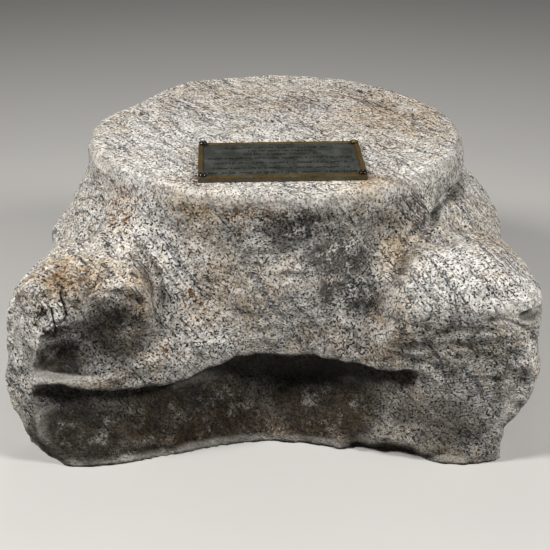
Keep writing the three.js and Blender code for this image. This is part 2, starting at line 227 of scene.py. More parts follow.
def volutes(x, y, z):
    """Two volutes on each side, back to back at the corners: thick discs with rolled tops."""
    radius = by_side(x, SCROLL_RADIUS)
    out, across = out_and_across(x, y)
    aside, above = across - EYE_ACROSS, z - by_side(x, EYE_HEIGHT)
    reach = np.where((above < 0) & (aside > 0), np.maximum(aside, -above), np.hypot(aside, above))
    face = bowed_face(across) + VOLUTE_PROUD
    roll = radius - ROLL_SHORT
    over = np.maximum(out - (face - roll), 0)
    rolled = np.where(above > 0, np.hypot(over, above), over) - roll
    field = common(reach - radius, rolled * ROLL_SQUASH, 10)
    field = common(field, face - VOLUTE_DEPTH - out, 10)
    # The solid corner that carries them.
    corner = common((out - face + CORNER_SHY) * 0.9, CORNER_ACROSS - across, 14)
    corner = common(corner, z - CORNER_TOP, 12)
    return join(field, corner, 8)


def ring_groove(x, y, z):
    """A groove that sets the front volutes off from the bell, where it hasn't worn away."""
    aside, above = np.abs(x) - EYE_ACROSS, z - by_side(x, EYE_HEIGHT)
    ring = np.hypot(aside, above)
    bearing = np.degrees(np.arctan2(above, aside))
    kept = bump((bearing - by_side(x, GROOVE_BEARING)) / by_side(x, GROOVE_SPREAD))
    profile = bump((ring - by_side(x, SCROLL_RADIUS) - GROOVE_PAST_SCROLL) / GROOVE_WIDTH)
    return by_side(x, GROOVE_DEPTH) * profile * kept * (y < 0)


def lip_height(x, y, diagonal):
    """The height of the bell's lower edge."""
    arch = ease((x - ARCH_STARTS) / ARCH_STEP) * (1 - ease((x - ARCH_ENDS) / ARCH_FADE))
    droop = ease((x - DROOP_STARTS) / DROOP_FADE) * (1 - ease((x - DROOP_ENDS) / ARCH_STEP))
    drop = CORNER_DROP * ease((diagonal - CORNER_STARTS) / CORNER_FADE)
    return LIP + (ARCH_RISE * arch - DROOP * droop) * (y < 0) - drop


def abacus(out, across, diagonal, z):
    """Thick, bowed in plan, leaning back to a recess under the lip."""
    shallower = (RECESS_MIDDLE - RECESS_CORNER) * ease((across - RECESS_STARTS) / RECESS_FADE)
    in_side = 1 - ease((diagonal - CORNER_STARTS) / CORNER_FADE)
    recess = (RECESS_MIDDLE - shallower) * in_side * ease(z / RECESS_HEIGHT)
    field = (out - (bowed_face(across) - recess)) * 0.9
    field = common(field, diagonal - CORNER_CUT, 10)
    return common(field, z - ABACUS_TOP, 10)


def broken_left_face(p):
    """The break in the left volute's face: a slope down from a crest, one to the front, and a ledge."""
    taken = common(-plane(p, *FALLING_FACE), -plane(p, *FACING_FACE), 18)
    return common(taken, LEDGE_HEIGHT - p[2], 8)


def worn(field, p):
    """Breaks, chips and hollows, each cut out of the field in turn."""
    x, y, z = p
    # Front left volute: the lump of its eye, and its outer corner, which is a flat face.
    field = join(field, ellipsoid(p, *EYE_LUMP), 8)
    field = join(field, ellipsoid(p, *CORNER_LUMP), 16)
    field = common(field, plane(p, *CORNER_CHAMFER), 1.5)
    # Under that corner the abacus is hollowed back from the lip, and its lower corner is broken off.
    field = without(field, ellipsoid(p, *CORNER_HOLLOW), 4)
    field = common(field, plane(p, *LOWER_LEFT_BREAK), 6)
    # Front right volute: its face is gone, in one wide shallow shell-shaped break, and a notch with a flat
    # ledge is cut into its outer side.
    field = without(field, ellipsoid(p, *SHELL_BREAK), 6)
    field = without(field, ellipsoid(p, *FLANK_NOTCH), 3)
    # Lower right corner: broken in under the volute, and back along the bottom.
    slope = (z - UNDERCUT_TOP - UNDERCUT_CLIMB * (x - UNDERCUT_FROM)) / UNDERCUT_SCALE
    undercut = np.maximum(np.maximum(UNDERCUT_FROM - x, slope), y - UNDERCUT_BACK)
    field = without(field, undercut, 8)
    foot = common(-plane(p, *FOOT_BREAK), FOOT_STARTS - x, 30)
    field = without(field, foot, 6)
    field = without(field, ellipsoid(p, *FRONT_BITE), 8)
    # Back corners: the tops of the volutes are gone.
    field = common(field, plane(p, *BACK_LEFT_BREAK), 14)
    field = common(field, plane(p, *BACK_RIGHT_BREAK), 14)
    # A deeper cave under the middle of the front lip.
    return without(field, ellipsoid(p, *CAVE), 6)


def worn_rim(field, p):
    """The drum's upper edge: rounded over, broken back on the left and at the back, and chipped."""
    field = common(field, p[2] - HEIGHT, RIM_ROUNDING)
    # These two planes have no lower end, so they also cut off the stone's back corners, down to the ground.
    field = common(field, plane(p, *RIM_LEFT_BREAK), 3)
    field = common(field, plane(p, *RIM_BACK_BREAK), 5)
    field = without(field, ellipsoid(p, *RIM_NOTCH), 2)
    for chip in BED_CHIPS:
        field = without(field, ellipsoid(p, *chip), 1.5)
    return field


def stone_field(p):
    """The whole stone, at points given as three arrays in mm."""
    x, y, z = p
    low = 1 - ease((z - by_side(x, BROADENS_BELOW)) / BROADENS_OVER)
    flank = bump((z - FLANK_HEIGHT) / FLANK_REACH)
    bx = x / (1 + by_side(x, BROADENING) * low + by_side(x, FLANK_WIDER) * flank)
    out, across = out_and_across(bx, y)
    diagonal = (out + across) / math.sqrt(2)
    # The right volute's flank is worn into the bell.
    flank_fillet = FILLET + FLANK_FILLET * (1 - ease((z - FLANK_TOP) / FLANK_FADE))
    fillet = by_side(x, (FILLET, flank_fillet))
    far_inside = -99.0
    scrolls = common(volutes(bx, y, z), np.where(x < 0, -broken_left_face(p), far_inside), 6)
    upper = join(bell(bx, y, z) + ring_groove(bx, y, z), scrolls, fillet)
    upper = common(upper, diagonal - CORNER_CUT, 8)
    upper = common(upper, lip_height(bx, y, diagonal) - z, 7)
    field = join(upper, abacus(out, across, diagonal, z), 6)
    field = worn(field, p)
    drum_radius = DRUM_RADIUS - DRUM_TAPER * (1 - ease((z - DRUM_FOOT) / DRUM_TAPER_HEIGHT))
    drum = common(np.hypot(x, y) - drum_radius, DRUM_FOOT - z, 6)
    field = join(field, drum, 8)
    field = worn_rim(field, p)
    return common(field, -z, 1)


# ---- noise ----

def noise(points, size, seed):
    """Smooth noise at each point, about -1 to 1, with lumps of the given size."""
    rng = np.random.default_rng(SEED * 1000 + seed)
    order = rng.permutation(256)
    slopes = rng.normal(size=(256, 3))
    slopes /= np.linalg.norm(slopes, axis=1, keepdims=True)
    scaled = points / size
    cell = np.floor(scaled).astype(int)
    inside = scaled - cell
    fade = inside**3 * (inside * (inside * 6 - 15) + 10)
    total = np.zeros(len(points))
    for corner in itertools.product((0, 1), repeat=3):
        index = cell + corner
        row = order[index[:, 0] & 255]
        row = order[(row + index[:, 1]) & 255]
        row = order[(row + index[:, 2]) & 255]
        weight = np.prod(np.where(corner, fade, 1 - fade), axis=1)
        total += weight * np.sum((inside - corner) * slopes[row], axis=1)
    return total * 1.6


# ---- from field to mesh ----

SETTLE_TURNS = 3
LEAST_STEEP = 0.2                # keeps a step finite where the field is nearly flat
CLEAR_OF_ZERO = 0.3              # mm


def stretches(*parts):
    """Grid values over (from, to, step) stretches that follow one another."""
    values = [parts[0][0]]
    for start, end, step in parts:
        count = round((end - start) / step)
        values.extend(start + (end - start) * (i + 1) / count for i in range(count))
    return np.array(values)


def surface_net(field, axes):
    """The field's surface: a vertex in each cell that it crosses, and a quad on each grid line."""
    values = field(np.meshgrid(*axes, indexing="ij"))
    untangle(values)
    size = values.shape
    flat = np.arange(values.size).reshape(size)
    sums = np.zeros((values.size, 4))
    quads = []
    for axis in range(3):
        here = np.moveaxis(values, axis, 0)[:-1, 1:-1, 1:-1]
        there = np.moveaxis(values, axis, 0)[1:, 1:-1, 1:-1]
        crossed = np.argwhere((here < 0) != (there < 0))
        a, b = here[tuple(crossed.T)], there[tuple(crossed.T)]
        others = [i for i in range(3) if i != axis]
        node = np.empty_like(crossed)
        node[:, axis] = crossed[:, 0]
        node[:, others[0]] = crossed[:, 1] + 1
        node[:, others[1]] = crossed[:, 2] + 1
        point = np.stack([axes[i][node[:, i]] for i in range(3)], axis=1)
        length = axes[axis][node[:, axis] + 1] - axes[axis][node[:, axis]]
        point[:, axis] += a / (a - b) * length
        cells = []
        for first, second in ((0, 0), (1, 0), (1, 1), (0, 1)):
            cell = node.copy()
            cell[:, others[0]] -= first
            cell[:, others[1]] -= second
            cells.append(flat[tuple(cell.T)])
        for cell in cells:
            np.add.at(sums, cell, np.column_stack([point, np.ones(len(point))]))
        quad = np.stack(cells, axis=1)
        turned = (a < 0) == (axis == 1)
        quad[turned] = quad[turned][:, ::-1]
        quads.append(quad)
    used = np.flatnonzero(sums[:, 3])
    number = np.full(values.size, -1)
    number[used] = np.arange(len(used))
    points = sums[used, :3] / sums[used, 3:]
    return points, number[np.concatenate(quads)]


def gradient(field, points, h=0.4):
    """The direction in which the field grows at each point, and how fast."""
    columns = []
    for axis in range(3):
        step = np.zeros(3)
        step[axis] = h
        columns.append((field((points + step).T) - field((points - step).T)) / (2 * h))
    return np.stack(columns, axis=1)


def settle(field, points, reach):
    """Moves points onto the surface, by at most reach."""
    start = points.copy()
    for _ in range(SETTLE_TURNS):
        slope = gradient(field, points)
        steep = np.maximum(np.sum(slope**2, axis=1), LEAST_STEEP)
        points = points - (field(points.T) / steep)[:, None] * slope
        points = np.clip(points, start - reach, start + reach)
    return points


def untangle(values):
    """Changes the least certain value wherever the surface would touch itself across one grid face."""
    for axis_a, axis_b in ((0, 1), (1, 2), (0, 2)):
        low = [slice(None)] * 3
        low[axis_a] = low[axis_b] = slice(0, -1)
        corners = []
        for step_a, step_b in ((0, 0), (1, 0), (1, 1), (0, 1)):
            part = list(low)
            part[axis_a] = slice(step_a, values.shape[axis_a] - 1 + step_a)
            part[axis_b] = slice(step_b, values.shape[axis_b] - 1 + step_b)
            corners.append(values[tuple(part)])
        a, b, c, d = (corner < 0 for corner in corners)
        tangled = np.argwhere((a == c) & (b == d) & (a != b))
        for place in tangled:
            least = min(corners, key=lambda corner: abs(corner[tuple(place)]))
            least[tuple(place)] = CLEAR_OF_ZERO if least[tuple(place)] < 0 else -CLEAR_OF_ZERO


def refined(points, faces, spheres):
    """The same mesh with every edge inside one of the (centre, radius) spheres cut in two."""
    mesh = bmesh.new()
    vertices = [mesh.verts.new(point) for point in points]
    for face in faces:
        mesh.faces.new([vertices[i] for i in face])
    inside = np.zeros(len(points), bool)
    for centre, radius in spheres:
        inside |= np.linalg.norm(points - centre, axis=1) < radius
    mesh.verts.index_update()
    edges = [edge for edge in mesh.edges if inside[edge.verts[0].index] and inside[edge.verts[1].index]]
    bmesh.ops.subdivide_edges(mesh, edges=edges, cuts=1, use_grid_fill=True)
    mesh.verts.index_update()
    points = np.array([vertex.co for vertex in mesh.verts])
    faces = [[vertex.index for vertex in face.verts] for face in mesh.faces]
    mesh.free()
    return points, faces


# ---- small helpers for making objects ----

def colour(hexa):
    """A linear colour from an sRGB hex string."""
    parts = [int(hexa[i:i + 2], 16) / 255 for i in (0, 2, 4)]
    return [c / 12.92 if c <= 0.04045 else ((c + 0.055) / 1.055)**2.4 for c in parts] + [1.0]


def new_piece(name, vertices, faces, material, smooth=True):
    """A mesh object from vertices in mm."""
    mesh = bpy.data.meshes.new(name)
    mesh.from_pydata((np.asarray(vertices) * MM).tolist(), [], [list(map(int, face)) for face in faces])
    mesh.update()
    if smooth:
        mesh.shade_smooth()
    mesh.materials.append(material)
    piece = bpy.data.objects.new(name, mesh)
    bpy.context.scene.collection.objects.link(piece)
    return piece


def cut_away(piece, cutters):
    """Takes the cutters' shapes out of a piece, and removes them."""
    for cutter in cutters:
        modifier = piece.modifiers.new("cut", "BOOLEAN")
        modifier.object = cutter
        modifier.operation = "DIFFERENCE"
        modifier.solver = "MANIFOLD"
    bpy.context.view_layer.update()
    evaluated = piece.evaluated_get(bpy.context.evaluated_depsgraph_get())
    mesh = bpy.data.meshes.new_from_object(evaluated)
    piece.modifiers.clear()
    piece.data = mesh
    for cutter in cutters:
        bpy.data.objects.remove(cutter)


def add_shells(piece, vertices, faces):
    """Adds more closed shells, in mm, to a piece's mesh."""
    mesh = bmesh.new()
    mesh.from_mesh(piece.data)
    added = [mesh.verts.new(Vector(vertex) * MM) for vertex in vertices]
    for face in faces:
        mesh.faces.new([added[i] for i in face])
    mesh.to_mesh(piece.data)
    mesh.free()


def stacked_rings(rings):
    """Vertices and faces of rings of equal length joined one to the next, with a face over each end."""
    count = len(rings[0])
    faces = []
    for level in range(len(rings) - 1):
        for i in range(count):
            j = (i + 1) % count
            low, high = level * count, (level + 1) * count
            faces.append((low + i, low + j, high + j, high + i))
    faces.append(tuple(reversed(range(count))))
    faces.append(tuple(range((len(rings) - 1) * count, len(rings) * count)))
    return np.concatenate(rings), faces


# ---- materials ----

class Nodes:
    """Short ways to add nodes to one material. Inputs are numbers, colours or other nodes' sockets."""

    def __init__(self, name):
        self.material = bpy.data.materials.new(name)
        self.material.use_nodes = True
        self.tree = self.material.node_tree
        self.shader = self.tree.nodes["Principled BSDF"]
        self.place = self.add("ShaderNodeTexCoord", {}).outputs["Object"]

    def feed(self, socket, value):
        if isinstance(value, bpy.types.NodeSocket):
            self.tree.links.new(value, socket)
        else:
            socket.default_value = value

    def add(self, kind, inputs, **settings):
        """A new node, its inputs given by name or number."""
        node = self.tree.nodes.new(kind)
        for key, value in settings.items():
            setattr(node, key, value)
        for key, value in inputs.items():
            self.feed(node.inputs[key], value)
        return node

    def math(self, operation, *values):
        return self.add("ShaderNodeMath", dict(enumerate(values)), operation=operation).outputs[0]

    def product(self, a, b):
        return self.math("MULTIPLY", a, b)

    def less(self, a, b):
        return self.math("SUBTRACT", a, b)

    def combine(self, *values):
        return self.add("ShaderNodeCombineXYZ", dict(enumerate(values))).outputs[0]

    def measure(self, operation, vector):
        """The distance from here to a point, or the dot product with a direction."""
        node = self.add("ShaderNodeVectorMath", {0: self.place, 1: vector}, operation=operation)
        return node.outputs["Value"]

    def attribute(self, name):
        return self.add("ShaderNodeAttribute", {}, attribute_name=name).outputs["Fac"]

    def mix(self, factor, first, second, blend="MIX"):
        """One colour mixed with another: its colour sockets have no names of their own, only numbers."""
        inputs = {"Factor": factor, 6: first, 7: second}
        return self.add("ShaderNodeMix", inputs, data_type="RGBA", blend_type=blend).outputs[2]

    def over(self, base, cover, most, hexa, blend="MIX"):
        """A colour laid over base as far as cover says, and at most so far."""
        return self.mix(self.product(cover, most), base, colour(hexa), blend)

    def noise(self, size, place=None, detail=3.0, rough=0.55):
        """Noise with lumps of the given size in mm."""
        inputs = {
            "Vector": place or self.place, "Scale": 0.5 / (size * MM), "Detail": detail, "Roughness": rough,
        }
        return self.add("ShaderNodeTexNoise", inputs).outputs["Fac"]

    def grains(self, size):
        """A random value for each of the cells, of the given size in mm, that space is broken into."""
        inputs = {"Vector": self.place, "Scale": 1 / (size * MM)}
        return self.add("ShaderNodeTexVoronoi", inputs).outputs["Color"]

    def between(self, value, low, high):
        """0 where the value is under low, 1 over high, smooth between. With low over high it falls."""
        rises = low < high
        inputs = {
            "Value": value, "From Min": min(low, high), "From Max": max(low, high),
            "To Min": 0.0 if rises else 1.0, "To Max": 1.0 if rises else 0.0,
        }
        return self.add("ShaderNodeMapRange", inputs, interpolation_type="SMOOTHSTEP").outputs["Result"]

    def bump(self, height, depth, normal=None):
        """A bump whose height runs over the given depth in mm, on top of another one's normal."""
        inputs = {"Strength": 1.0, "Distance": depth * MM, "Height": height}
        if normal:
            inputs["Normal"] = normal
        return self.add("ShaderNodeBump", inputs).outputs["Normal"]

    def finish(self, base, roughness, normal, **constants):
        self.feed(self.shader.inputs["Base Color"], base)
        self.feed(self.shader.inputs["Roughness"], roughness)
        self.feed(self.shader.inputs["Normal"], normal)
        for name, value in constants.items():
            self.shader.inputs[name.replace("_", " ")].default_value = value
        return self.material


# The layers of the gneiss: their normal, and two directions in them. Its grain is given in mm.
LAYER_NORMAL = Vector((0.72, 0.50, 0.46)).normalized()
LAYER_ALONG = LAYER_NORMAL.cross(Vector((0, 0, 1))).normalized()
LAYER_ACROSS = LAYER_NORMAL.cross(LAYER_ALONG)

LAYER_WAVE_LENGTH = 80
LAYER_WAVE = 60 * MM             # how far the layers wave, over the whole range of the noise
GRAIN_SIZE = 2.0
GRAIN_BUMP, MOTTLE_BUMP = 1.6, 2.5
VEIN_WAVE = 50 * MM
VEIN_FADE, VEIN_CORE = 1.5 * MM, 0.4 * MM

# Thin dark seams: a point in mm that each runs through, its normal, and how far it runs from there.
VEINS = [
    ((150, 80, 330), (0.80, 0.60, 0.30), 150), ((140, -110, 330), (0.85, 0.52, -0.20), 90),
    ((44, -236, 290), (0.845, 0.528, 0.09), 110), ((-180, 104, 330), (0.79, 0.61, 0.30), 60),
    ((196, -270, 215), (0.70, 0.50, 0.45), 60), ((262, -250, 245), (0.80, 0.50, 0.40), 60),
    ((240, -270, 232), (0.80, 0.50, 0.40), 50), ((-110, -60, 330), (0.80, 0.60, 0.20), 80),
    ((80, -300, 160), (0.80, 0.50, 0.40), 70),
]


def layered_place(n):
    """Coordinates in the stone's own layers, gently waving: along, across, and through them."""
    wave = n.product(n.less(n.noise(LAYER_WAVE_LENGTH, detail=2.0), 0.5), LAYER_WAVE)
    depth = n.math("ADD", n.measure("DOT_PRODUCT", LAYER_NORMAL), wave)
    return n.measure("DOT_PRODUCT", LAYER_ALONG), n.measure("DOT_PRODUCT", LAYER_ACROSS), depth


def minerals(n, clouds, mottle, bands, sparkle, pressed):
    """The clean stone's colours: cream feldspar, white quartz, and grey bands and lines in the layers."""
    streaks = n.noise(12, pressed(4.5), detail=4.0, rough=0.6)
    lines = n.noise(60, pressed(20.0), detail=3.0, rough=0.6)
    blotches = n.noise(13, pressed(2.2), detail=5.0, rough=0.72)
    grains = n.grains(GRAIN_SIZE)
    base = n.mix(n.between(clouds, 0.40, 0.60), colour("d3c4ad"), colour("e0dbd2"))
    # Each is (pattern, where it starts, where it is full, most cover, colour).
    for pattern, low, high, most, hexa in (
        (bands, 0.48, 0.62, 0.4, "a2a3a4"),
        (mottle, 0.50, 0.59, 0.85, "f8f2e8"),
        (mottle, 0.47, 0.38, 0.7, "938a7e"),
        (blotches, 0.52, 0.62, 0.65, "73767a"),
        (streaks, 0.58, 0.67, 0.6, "55585c"),
        (lines, 0.56, 0.63, 0.8, "4a4e55"),
        (sparkle, 0.60, 0.67, 0.5, "fffdf8"),
        (grains, 0.60, 0.72, 0.6, "fbf8f2"),
        (grains, 0.40, 0.28, 0.55, "77726b"),
    ):
        base = n.over(base, n.between(pattern, low, high), most, hexa)
    return base


def darken_in_patches(n, base, name, pattern, limits, most, hexa):
    """Darkens base with a multiplied colour where its attribute says, in patches that a pattern gives between
    two limits: used for the stains and for painted shade.
    """
    cover = n.product(n.attribute(name), n.between(pattern, *limits))
    return n.over(base, cover, most, hexa, blend="MULTIPLY")


def add_stains_and_shade(n, base, mottle):
    """Iron stains, rust specks and soot where the attributes say they have gathered; grime with painted shade
    low down and in the left hollow; painted shade in sheltered places.
    """
    base = darken_in_patches(n, base, "warm", n.noise(16, detail=4.0), (0.34, 0.56), 0.8, "d8bd92")
    base = darken_in_patches(n, base, "rust", mottle, (0.44, 0.58), 0.6, "b99256")
    rust_limit = n.less(0.665, n.product(n.attribute("rust"), 0.14))
    rust_specks = n.less(n.noise(2.4, detail=1.0), rust_limit)
    base = n.over(base, n.between(rust_specks, 0.0, 0.03), 0.9, "70450f")
    base = darken_in_patches(n, base, "soot", n.noise(9, detail=5.0, rough=0.75), (0.36, 0.56), 0.95, "474642")
    # Grime with painted shade: darker low down, most of all under the front lip, and in the left volute's
    # hollow.
    base = darken_in_patches(n, base, "grime_and_shade", n.noise(12, detail=4.0, rough=0.7), (0.14, 0.52), 1.0, "4a4132")
    # Painted shade where the stone is closed in: hollows, the cave and undersides.
    base = darken_in_patches(n, base, "shelter_shade", n.noise(14, detail=4.0), (0.08, 0.48), 1.0, "2f281c")
    return n.over(base, n.attribute("olive"), 0.85, "8f7f55", blend="MULTIPLY")


def add_mica(n, base, bands, specks, pressed):
    """Dark mica: long flecks in the layers, and round specks that crowd where there is soot."""
    flecks = n.noise(7.0, pressed(6.0), detail=1.0, rough=0.4)
    crowd = n.between(n.noise(40, pressed(2.2), detail=3.0, rough=0.6), 0.44, 0.58)
    fleck_limit = n.less(0.74, n.product(n.attribute("fleck"), 0.06))
    fleck_limit = n.less(fleck_limit, n.product(crowd, 0.08))
    fleck_limit = n.less(fleck_limit, n.product(n.between(bands, 0.45, 0.62), 0.05))
    base = n.over(base, n.between(n.less(flecks, fleck_limit), 0.0, 0.03), 0.9, "303134")
    speck_limit = n.less(0.67, n.product(n.attribute("soot"), 0.10))
    return n.over(base, n.between(n.less(specks, speck_limit), 0.0, 0.02), 0.95, "171615")


def add_veins(n, base, clouds, mottle):
    """The thin dark seams, each on its own gently waving plane."""
    for point, normal, reach in VEINS:
        normal = Vector(normal).normalized()
        level = n.less(n.measure("DOT_PRODUCT", normal), normal.dot(Vector(point)) * MM)
        level = n.math("ADD", level, n.product(n.less(clouds, 0.5), VEIN_WAVE))
        line = n.between(n.math("ABSOLUTE", level), VEIN_FADE, VEIN_CORE)
        near = n.between(n.measure("DISTANCE", Vector(point) * MM), reach * MM, 0.7 * reach * MM)
        broken = n.between(mottle, 0.40, 0.54)
        base = n.over(base, n.product(n.product(line, near), broken), 0.8, "45474b")
    return base


def stone_material():
    n = Nodes("gneiss")
    along, across, depth = layered_place(n)

    def pressed(times):
        """The layered coordinates, pressed flat that many times so that patterns lie in the layers."""
        return n.combine(along, across, n.product(depth, times))

    clouds = n.noise(48, detail=4.0, rough=0.6)
    bands = n.noise(45, pressed(4.5), detail=4.0, rough=0.65)
    mottle = n.noise(6.0, detail=4.0, rough=0.7)
    sparkle = n.noise(2.1, detail=1.0, rough=0.7)
    specks = n.noise(1.25, detail=0.0)

    base = minerals(n, clouds, mottle, bands, sparkle, pressed)
    base = add_stains_and_shade(n, base, mottle)
    base = add_mica(n, base, bands, specks, pressed)
    base = add_veins(n, base, clouds, mottle)
    # Painted shade in the cracks and pits, darker the deeper they are.
    base = n.over(base, n.attribute("crack_and_pit_shade"), 0.75, "2a2520")
    base = n.over(base, n.attribute("edge"), 0.3, "efe9de")

    height = n.less(n.product(sparkle, 0.6), n.between(specks, 0.62, 0.70))
    normal = n.bump(height, GRAIN_BUMP)
    normal = n.bump(mottle, MOTTLE_BUMP, normal)
    roughness = n.less(0.95, n.product(n.between(sparkle, 0.4, 0.7), 0.3))
    return n.finish(base, roughness, normal, Specular_IOR_Level=0.35)


def bronze_material(name, hide, rubbed, grime_and_shade, dull=0.34):
    """Patinated bronze: a dull hide, a rubbed colour where it is worn, and grime in the hollows."""
    n = Nodes(name)
    patches = n.noise(9, detail=4.0, rough=0.65)
    grain = n.noise(1.1, detail=3.0, rough=0.6)
    base = n.over(colour(hide), n.between(patches, 0.50, 0.62), 0.25, "6d716b")
    base = n.over(base, n.between(patches, 0.48, 0.36), 0.3, grime_and_shade)
    wear = n.product(n.attribute("worn"), n.between(n.noise(4, detail=4.0), 0.28, 0.56))
    base = n.mix(wear, base, colour(rubbed))
    base = n.over(base, n.between(grain, 0.48, 0.36), 0.45, grime_and_shade)
    base = n.over(base, n.attribute("ink"), 0.8, grime_and_shade)
    roughness = n.math("ADD", dull, n.product(n.between(patches, 0.3, 0.7), 0.7 * dull))
    metallic = n.math("ADD", 0.3, n.product(wear, 0.5))
    n.feed(n.shader.inputs["Metallic"], metallic)
    return n.finish(base, roughness, n.bump(grain, 0.15))


# ---- the stone ----

# Stains gather in places, and grime with painted shade lies low down and in the left volute's hollow:
# (centre, half axes, strength), in mm.
STAINS_AND_SHADE = {
    "soot": [
        ((78, -238, 252), (62, 60, 52), 1.0), ((20, -238, 290), (70, 50, 38), 0.85),
        ((0, -236, 316), (130, 30, 22), 0.4), ((-250, -280, 228), (60, 50, 40), 0.35),
        ((96, -245, 205), (46, 50, 44), 0.9), ((60, -250, 150), (70, 50, 40), 0.5),
        ((-190, -280, 175), (64, 50, 56), 0.4), ((170, -190, 290), (36, 40, 46), 0.5),
        ((-120, -280, 165), (40, 40, 40), 0.3), ((-40, -238, 270), (60, 50, 40), 0.35),
        ((64, -238, 225), (16, 50, 70), 1.0),
    ],
    "rust": [
        ((-28, -236, 315), (56, 34, 20), 1.0), ((20, -236, 306), (50, 34, 16), 0.8),
        ((-150, -284, 222), (30, 34, 30), 0.7), ((-124, -288, 150), (30, 34, 26), 0.8),
        ((-96, -250, 190), (36, 40, 40), 0.5), ((-240, -270, 240), (50, 40, 24), 0.8),
        ((70, -242, 216), (14, 30, 12), 0.8), ((-186, -170, 285), (40, 50, 40), 0.7),
        ((10, -110, 330), (160, 60, 30), 0.15), ((90, 90, 330), (180, 160, 30), 0.3),
        ((-110, -190, 325), (60, 30, 16), 0.6), ((0, -236, 14), (330, 60, 40), 0.35),
    ],
    "warm": [
        ((-150, -280, 225), (34, 60, 56), 1.0), ((150, -225, 262), (50, 60, 60), 0.7),
        ((-100, -225, 312), (70, 50, 26), 0.8), ((130, -270, 175), (46, 50, 60), 0.6),
        ((120, -205, 328), (60, 50, 30), 0.8), ((0, -240, 10), (330, 90, 40), 0.7),
        ((-240, -262, 232), (80, 60, 50), 0.9), ((170, 60, 330), (120, 180, 30), 0.5),
        ((-60, 120, 330), (160, 100, 30), 0.4), ((270, -180, 250), (60, 90, 60), 0.6),
        ((-220, -300, 115), (70, 30, 14), 0.8), ((-60, -245, 220), (70, 50, 70), 0.6),
        ((40, -245, 140), (90, 50, 50), 0.5),
    ],
    "olive": [((-288, -272, 20), (40, 34, 34), 1.0), ((170, -280, 4), (130, 50, 22), 0.9)],
    "fleck": [
        ((195, -180, 270), (70, 80, 60), 1.0), ((90, 60, 330), (200, 180, 30), 0.55),
        ((230, -250, 240), (80, 60, 50), 0.6), ((-190, -120, 290), (60, 100, 60), 0.5),
        ((-200, 20, 330), (90, 150, 30), 0.4),
    ],
    # Grime with painted shade: darker low down all round, most of all under the front lip, and in the left
    # volute's hollow.
    "grime_and_shade": [
        ((-120, -240, 40), (230, 120, 95), 1.0), ((60, -230, 50), (150, 120, 90), 1.0),
        ((200, -250, 50), (110, 120, 70), 0.8), ((-235, -280, 40), (110, 80, 85), 1.0),
        ((-250, -280, 142), (60, 60, 40), 1.0), ((-185, -270, 165), (64, 44, 56), 0.9),
        ((0, 250, 40), (330, 120, 80), 0.7), ((-260, 0, 40), (120, 300, 80), 0.7),
        ((260, 0, 40), (120, 300, 80), 0.7),
    ],
}

# Where the mesh is made finer: the left volute with its eye, then the eye and the chips again.
CLOSE = [((-228, -285, 205), 84), ((166, 58, 330), 16), ((62, 228, 325), 34), ((290, -280, 200), 40)]
CLOSER = [((-252, -290, 216), 42), ((168, 57, 330), 12)]

# Cracks and grooves on the front, as paths in X and Z, with their half widths and depths. Only what stands
# in front of CRACKS_BACK has them.
CRACKS_BACK = -225
FRONT_CRACKS = [
    ([(-262, 231), (-252, 222), (-249, 205), (-251, 188)], 2.0, 3.6),
    ([(-241, 240), (-237, 226), (-236, 214), (-240, 207), (-249, 204)], 2.4, 5.0),
    ([(-278, 192), (-266, 187), (-252, 189)], 2.4, 4.0),
    ([(-235, 219), (-220, 223), (-204, 238), (-191, 243)], 1.8, 2.0),
    ([(-270, 212), (-266, 203), (-258, 199)], 1.8, 2.4),
]

# Small pits: (centre, radius, depth) in mm.
PITS = [
    ((-246, -283, 242), 5.0, 4.5), ((-268, -256, 246), 6.0, 4.0), ((-262, -258, 247), 5.0, 3.0),
    ((-197, -214, 254), 5.0, 3.0), ((-285, -290, 108), 5.0, 3.0),
]

# The craggiest places, given as the stains are.
CRAGS = [
    ((-250, -280, 236), (66, 60, 46), 1.0), ((-258, -292, 206), (34, 34, 34), 0.9),
    ((-190, -270, 240), (50, 50, 26), 0.5), ((280, -280, 250), (50, 60, 30), 0.3),
    ((292, -292, 150), (24, 30, 60), 0.6), ((-150, -260, 20), (160, 60, 34), 0.6),
    ((120, -262, 8), (90, 50, 20), 0.6), ((-296, -290, 120), (26, 50, 60), 0.4),
]

CRACK_SHADE_FULL = 3.0            # a crack this deep has the darkest painted shade

# The worn surface's waves and the rubble in craggy places: (height, size of the lumps, seed), in mm.
WAVES = [(3.2, 85, 1), (2.8, 38, 2), (2.0, 18, 3), (1.0, 10, 5)]
RUBBLE = [(1.8, 12, 9), (1.2, 6, 10)]
LAYER_RELIEF, LAYER_PRESSED = (1.2, 60, 4), 4.5
WORN_AWAY = 1.0
SCAR_DEPTH, SCAR_SHARPNESS, SCARS_ABOVE = 2.2, 7, 0.1
TOP_SMOOTHER, TOP_BAND, TOP_FADE = 0.6, 10, 8
# Flakes lie several deep, each one so thick, with a sloping edge over a share of it.
FLAKES_DEEP, FLAKE_THICKNESS, FLAKE_RISE = 3.6, 2.6, 0.2


